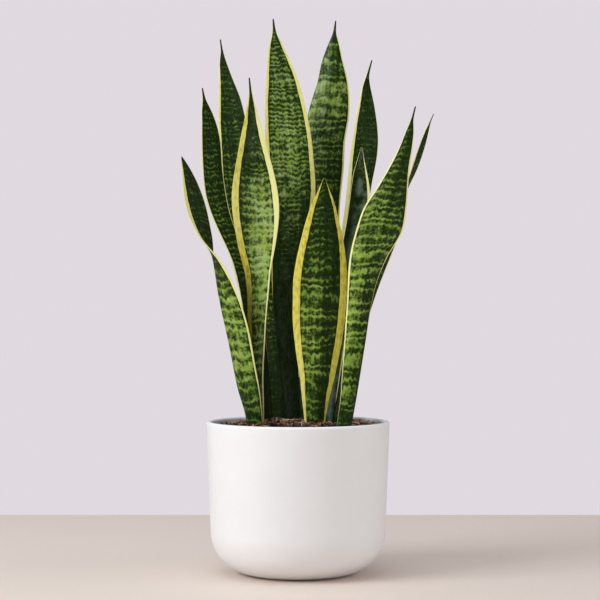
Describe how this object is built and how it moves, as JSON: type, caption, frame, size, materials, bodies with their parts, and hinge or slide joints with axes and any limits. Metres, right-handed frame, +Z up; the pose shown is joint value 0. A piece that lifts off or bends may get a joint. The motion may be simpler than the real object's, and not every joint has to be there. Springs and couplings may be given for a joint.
{
  "type": "potted snake plant",
  "caption": "Variegated snake plant, a clump of upright sword-shaped leaves with yellow margins, in a plain round white ceramic pot with bark mulch.",
  "frame": {"origin": "centre of the pot's flat foot, on the surface that the pot stands on", "axes": "+Z up the pot's axis; -Y towards the front of the plant, with its low front leaf; +X to the right as seen from the front"},
  "size_m": [0.2751, 0.2, 0.6175],
  "materials": {
    "white_ceramic": "satin",
    "potting_soil": "matte",
    "bark_mulch": "matte",
    "rhizome": "matte",
    "leaf": "satin"
  },
  "bodies": {
    "root": {"ceramic_pot": "white_ceramic", "potting_soil": "potting_soil", "bark_mulch": "bark_mulch", "rhizome": "rhizome", "leaf_far_left_twisted": "leaf", "leaf_left_outer": "leaf", "leaf_left_tall": "leaf", "leaf_front_left": "leaf", "leaf_centre_tallest": "leaf", "leaf_back_right_tall": "leaf", "leaf_front_centre": "leaf", "leaf_right_back": "leaf", "leaf_right_inner": "leaf", "leaf_front_right": "leaf", "leaf_far_right": "leaf"}
  },
  "joints": []
}
